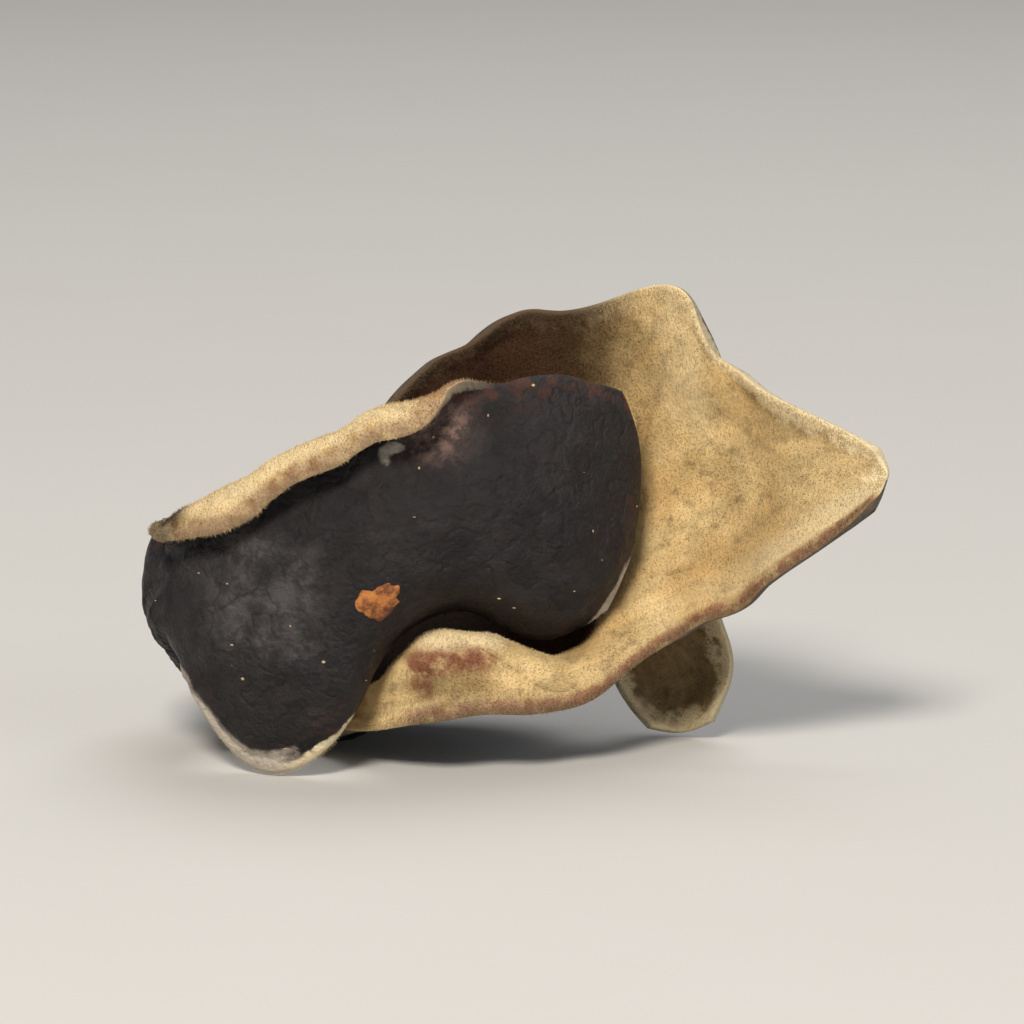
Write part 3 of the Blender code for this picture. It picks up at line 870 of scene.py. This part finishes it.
def dust_tree():
    """Crumbs that lie on a surface: each is a small uneven ball, partly sunk in it."""
    tree, given = new_tree("dust_crumbs", ("Density", "Size"))
    seats = seats_on(tree, given)
    ball = add(tree, "GeometryNodeMeshIcoSphere", {"Radius": given["Size"], "Subdivisions": 1}).outputs[0]
    smallest, largest = CRUMB_SIZES
    any_size = {0: smallest, 1: largest, "Seed": given["Seed"]}
    stretch = add(tree, "FunctionNodeRandomValue", any_size, data_type="FLOAT_VECTOR").outputs[0]
    inputs = {"Points": seats["Points"], "Instance": ball, "Rotation": seats["Rotation"], "Scale": stretch}
    lie = add(tree, "GeometryNodeInstanceOnPoints", inputs).outputs[0]
    return end_tree(tree, given, lie)


def grown(name, ground, tree, values):
    """What a tree makes on a surface, as a plain mesh of its own."""
    carrier = new_object(name + "_ground", ground)
    modifier = carrier.modifiers.new("grow", "NODES")
    modifier.node_group = tree
    for item in tree.interface.items_tree:
        if item.in_out == "INPUT" and item.name in values:
            modifier[item.identifier] = values[item.name]
    bpy.context.view_layer.update()
    graph = bpy.context.evaluated_depsgraph_get()
    mesh = bpy.data.meshes.new_from_object(carrier.evaluated_get(graph))
    bpy.data.objects.remove(carrier)
    bpy.data.meshes.remove(ground)
    mesh.name = name
    return new_object(name, mesh)


# The pieces.


def finish_piece(piece):
    """Every piece moves with the one body."""
    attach(piece, "root")
    return piece


def margin_marks(kind, rib, reach):
    """The strongest of the marks of this kind that follow a margin."""
    marks = [
        strength * bump(ribs, rib) * smoothstep(*fade, reach[side])
        for found, strength, ribs, side, fade in MARGIN_MARKS
        if found == kind
    ]
    return np.maximum.reduce(marks)


def painted_felt_shade(points, rib, drift):
    """Painted shade on the felt: deep in the roll, darkest low on the left, fading to tan on the fan and lip.
    """
    x, y, z = np.moveaxis(points, 2, 0)
    roll = smoothstep(*ROLL_RIBS, rib + drift) * smoothstep(*ROLL_FRONT, y)
    roll = roll * (1 + smoothstep(*ROLL_LEFT, x))
    tip = TIP_STRENGTH * smoothstep(*TIP_RIBS, rib)
    brown = np.maximum(roll, tip) * (1 + 0.5 * smoothstep(*ROLL_LOW, z))
    return np.maximum(brown, KNOB_SHADE_STRENGTH * spot(points, KNOB_SHADE, KNOB_SHADE_RADIUS))


def knob_rust_and_shade(points):
    """The knob under the flap has a spot and a streak of rust colour and painted shade."""
    streak = smoothstep(*KNOB_STREAK_FADE, from_line(points, *KNOB_STREAK))
    return np.maximum(spot(points, KNOB_DIMPLE_CENTRE, KNOB_SPOT_RADIUS), streak)


def painted_felt_highlights(points, rib, reach, end):
    """Painted highlights on the knob's ridge, on the collar's curl and in a band along the lip and the fan.
    """
    knob = HIGHLIGHT_STRENGTH * smoothstep(*KNOB_CREST, points[:, :, 2])
    knob = knob * smoothstep(*KNOB_FRONT, points[:, :, 1]) * bump(KNOB_RIBS, rib)
    curl = HIGHLIGHT_STRENGTH * bump(CURL_REACH, reach["upper"]) * bump(CURL_RIBS, rib) * (1 - end)
    band = np.interp(rib, *HIGHLIGHT_BAND) * bump(HIGHLIGHT_BAND_REACH, reach["lower"])
    return np.maximum.reduce([knob, curl, band])


def skin_bloom_and_sheen(points, rib):
    """The flap has a painted grey sheen beside the fold, and the back of the roll is bloomed grey in patches.
    """
    flap = bump(SHEEN_RIBS, rib) * bump(SHEEN_HEIGHTS, points[:, :, 2])
    back = smoothstep(*BACK_BLOOM_NOISE, uneven(points, BACK_BLOOM_WIDTH, 19))
    return np.maximum(flap, BACK_BLOOM_STRENGTH * back * bump(BACK_BLOOM_RIBS, rib))


def skin_wear_and_highlight(points, reach):
    """The dark face has a pale rim with a painted highlight along the lower half of the flap's free edge, and
    a painted highlight in a streak.
    """
    edge = smoothstep(*EDGE_HIGHLIGHT_REACH, distances(points, 1)) * bump(EDGE_HIGHLIGHT, reach["lower"])
    glint = smoothstep(*GLINT_FADE, from_line(points, *GLINT_STREAK))
    glint = glint * smoothstep(*GLINT_NOISE, uneven(points, GLINT_WIDTH, 23))
    return np.maximum(edge, glint)


def ear_marks(points, rib):
    """Where the ear has painted shade or painted highlights, and where it is paler, stained, grey or has
    wear, from 0 to 1 or, for the painted shade deep in the roll, past 1.
    """
    lower = distances(points, 0)
    upper = lower[-1:] - lower
    reach = {"lower": lower, "upper": upper}
    drift = MARKS_DRIFT * uneven(points, MARKS_DRIFT_WIDTH, 17)
    end = smoothstep(*COLLAR_END, points[:, :, 0] + COLLAR_END_DRIFT * drift)
    end = end * smoothstep(*COLLAR_END_REACH, upper)
    # The shade is painted shade; the stain is rust with painted shade; the crests, curls and bands are
    # painted highlights; the wear has painted highlights too.
    shade = np.maximum(painted_felt_shade(points, rib, drift), margin_marks("shade", rib, reach))
    stain_and_shade = np.maximum(knob_rust_and_shade(points), margin_marks("stain_and_shade", rib, reach))
    painted_highlight = np.maximum(painted_felt_highlights(points, rib, reach, end), margin_marks("painted_highlight", rib, reach))
    wear_and_highlight = np.maximum(skin_wear_and_highlight(points, reach), margin_marks("wear_and_highlight", rib, reach))
    return {
        "shade": np.maximum(shade, COLLAR_END_SHADE * end),
        "pale": np.where(lower < upper, np.interp(rib, *PALE_LOW), np.interp(rib, *PALE_HIGH)),
        "stain_and_shade": stain_and_shade,
        "bloom_and_sheen": skin_bloom_and_sheen(points, rib),
        "blush": smoothstep(*BLUSH_FADE, np.linalg.norm((points - BLUSH) / BLUSH_SIZE, axis=2)),
        "painted_highlight": painted_highlight,
        "wear_and_highlight": wear_and_highlight,
    }


def make_flesh(name, points, facts, skin, felt):
    mesh, tan = closed_sheet(name, points, facts)
    piece = new_object(name, mesh)
    mesh.materials.append(skin)
    mesh.materials.append(felt)
    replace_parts(finish_piece(piece), "wood_ear")
    return tan


def make_felt(points, rib, facts, tan, tree, hair):
    """The velvet on the tan face, as one piece for each area."""
    combed = uphill(points, from_base(points)[1])  # out from the base
    for area, ends in FELT_AREAS.items():
        first, last = np.clip(np.searchsorted(rib, ends), 1, len(rib) - 2)
        ground = felt_ground(tan, facts, (first, last + 1), combed)
        finish_piece(grown("felt_hairs_" + area, ground, tree, HAIRS | {"Material": hair}))


def edge_faces(mesh, width):
    """Keeps only the faces within a distance of the margin."""
    margin = np.empty(len(mesh.vertices), np.float32)
    mesh.attributes["margin"].data.foreach_get("value", margin)
    shape = bmesh.new()
    shape.from_mesh(mesh)
    far = [face for face in shape.faces if all(margin[v.index] > width for v in face.verts)]
    bmesh.ops.delete(shape, geom=far, context="FACES")
    shape.to_mesh(mesh)
    shape.free()


def make_fringe(name, points, facts, tan, tree, hair):
    """The paler, longer hairs that stick out past the margin."""
    ground = felt_ground(tan, facts, (1, points.shape[1] - 1), across_margin(points))
    edge_faces(ground, FRINGE_REACH)
    finish_piece(grown(name, ground, tree, FRINGE | {"Material": hair}))


FLECK_RIB = 3.5  # where the crumb of bark lies on the flap
FLECK_LEVEL = 4.85
FLECK_TURN = 38  # degrees
FLECK_LONG = 0.78  # half of its length, in millimetres
FLECK_SHORT = 0.5
FLECK_THICKNESS = 0.1
FLECK_DROOP = 0.08  # its edge lies this much lower than its middle
FLECK_BEND = 4.5  # radius of the flap under it
FLECK_WAVES = ((0.13, 3, 0.7), (0.08, 7, 2), (0.05, 12, 0))  # its ragged outline: shares, waves and starts
FLECK_RINGS = 8
FLECK_SPOKES = 40


def fleck_points(centre, out):
    """The crumb's points, from its middle out ring by ring: a domed chip with a ragged outline."""
    side = unit(np.cross((0, 0, 1), out))
    rise = np.cross(out, side)
    turn = np.radians(FLECK_TURN)
    long = FLECK_LONG * (side * np.cos(turn) + rise * np.sin(turn))
    short = FLECK_SHORT * (rise * np.cos(turn) - side * np.sin(turn))
    around = np.linspace(0, 2 * np.pi, FLECK_SPOKES, endpoint=False)
    ragged = 1 + sum(part * np.sin(waves * around + start) for part, waves, start in FLECK_WAVES)
    points = [centre + out * FLECK_THICKNESS]
    for level in np.linspace(0, 1, FLECK_RINGS + 1)[1:]:
        height = FLECK_THICKNESS * (1 - level**4) - FLECK_DROOP * level**6
        for angle, far in zip(around, level * ragged):
            flat = far * (long * np.cos(angle) + short * np.sin(angle))
            bow = -0.5 * (flat @ flat) / FLECK_BEND
            rough = 0.02 * noise.noise(Vector(flat / 0.15))
            points.append(centre + flat + out * (height + bow + rough))
    return np.array(points)


def fleck_faces():
    """Its faces: rings of quads, a fan round the middle, and one face below."""
    spokes = np.arange(FLECK_SPOKES)
    after = np.roll(spokes, -1)
    faces = []
    for start in 1 + FLECK_SPOKES * np.arange(FLECK_RINGS - 1):
        a, b = start + spokes, start + after
        faces += np.stack([a, a + FLECK_SPOKES, b + FLECK_SPOKES, b], axis=1).tolist()
    faces += np.stack([0 * spokes, 1 + spokes, 1 + after], axis=1).tolist()
    last = 1 + (FLECK_RINGS - 1) * FLECK_SPOKES
    return faces + [(last + spokes[::-1]).tolist()]


def make_fleck(points, rib, bark_crumb):
    """The crumb of bark on the flap."""
    column = np.searchsorted(rib, FLECK_RIB)
    row = np.abs(points[:, column, 2] - FLECK_LEVEL).argmin()
    out = normals(points)[row, column]
    centre = points[row, column] + out * (SHEET_THICKNESS / 2)
    mesh = bpy.data.meshes.new("bark_fleck")
    mesh.from_pydata(((fleck_points(centre, out) - MIDDLE) * MM).tolist(), [], fleck_faces())
    mesh.shade_smooth()
    mesh.materials.append(bark_crumb)
    finish_piece(new_object("bark_fleck", mesh))


def make_dust(points, facts, tree, grit):
    """Specks on the dark face."""
    dark = both_faces(points, facts["margin"])[0]
    index = np.arange(dark[:, :, 0].size).reshape(dark.shape[:2])
    ground = new_mesh("ground", dark.reshape(-1, 3), grid_faces(index, True), {})
    finish_piece(grown("dust_specks", ground, tree, DUST | {"Material": grit}))


def make_lobe(skin, felt, tree, hair):
    """The side lobe, with its own felt. Its painted shade and its pale margin are even all over."""
    points = tongue_surface()
    plain = np.zeros(points.shape[:2])
    marks = dict.fromkeys(("stain_and_shade", "bloom_and_sheen", "blush", "painted_highlight", "wear_and_highlight"), plain)
    facts = surface_facts(points, marks | {"shade": plain + LOBE_SHADE, "pale": plain + LOBE_PALE})
    tan = make_flesh("side_lobe", points, facts, skin, felt)
    ground = felt_ground(tan, facts, (1, points.shape[1] - 1), across_margin(points))
    finish_piece(grown("felt_hairs_lobe", ground, tree, HAIRS | {"Material": hair}))


def make_ear():
    skin, felt, hair = dark_skin(), felted_back(), felt_hair()
    hairs = hair_tree()
    points, rib = sheet_surface()
    facts = surface_facts(points, ear_marks(points, rib))
    tan = make_flesh("ear_sheet", points, facts, skin, felt)
    make_felt(points, rib, facts, tan, hairs, hair)
    make_fringe("margin_hairs", points, facts, tan, hairs, hair)
    make_lobe(skin, felt, hairs, hair)
    make_fleck(points, rib, bark())
    make_dust(points, facts, dust_tree(), dust())


# The studio.

FLOOR_REACH = 1.5  # metres
FACED = (0, 0, 0.006)  # the lights face this point
LIGHTS = {
    # where it is, its width, its power and its colour
    "key": ((-0.06, -0.26, 0.25), 0.09, 1.4, "#FFF8EE"),
    "fill": ((0.26, -0.18, 0.1), 0.25, 0.25, "#F4F7FF"),
    "overhead": ((0.04, 0.14, 0.3), 0.25, 0.5, "#FFFFFF"),
}
SKY_GREY = "#EFF1F4"
SKY_POWER = 0.22
LENS = 200  # millimetres
SENSOR = 36
CAMERA_RISE = 10  # degrees
CAMERA_AWAY = 0.152  # metres
CAMERA_TARGET = (0, 0, 6.4 * MM)


def make_floor():
    mesh = bpy.data.meshes.new("floor")
    far = FLOOR_REACH
    corners = [(-far, -far, 0), (far, -far, 0), (far, far, 0), (-far, far, 0)]
    mesh.from_pydata(corners, [], [(0, 1, 2, 3)])
    mesh.materials.append(floor_paper())
    new_object("floor", mesh)


def aim(thing, target):
    thing.rotation_euler = (Vector(target) - thing.location).to_track_quat("-Z", "Y").to_euler()


def make_light(name, place, size, power, colour):
    light = bpy.data.lights.new(name, "AREA")
    light.size = size
    light.energy = power
    light.color = linear(colour)[:3]
    lamp = new_object(name, light)
    lamp.location = place
    aim(lamp, FACED)


def make_lights():
    """Soft boxes: a key high in front, a fill from the right and one overhead behind."""
    for name, values in LIGHTS.items():
        make_light(name, *values)
    world = bpy.data.worlds.new("studio")
    world.use_nodes = True
    sky = world.node_tree.nodes["Background"]
    sky.inputs["Color"].default_value = linear(SKY_GREY)
    sky.inputs["Strength"].default_value = SKY_POWER
    bpy.context.scene.world = world


def make_camera():
    """A long lens, looking a little down at the front."""
    data = bpy.data.cameras.new("camera")
    data.lens = LENS
    data.sensor_width = SENSOR
    data.clip_start = 0.001
    data.clip_end = 10
    camera = new_object("camera", data)
    elevation = math.radians(CAMERA_RISE)
    target = Vector(CAMERA_TARGET)
    camera.location = target + CAMERA_AWAY * Vector((0, -math.cos(elevation), math.sin(elevation)))
    aim(camera, target)
    bpy.context.scene.camera = camera
    bpy.context.scene.view_settings.view_transform = "Standard"


make_camera()
make_lights()
make_floor()
make_ear()
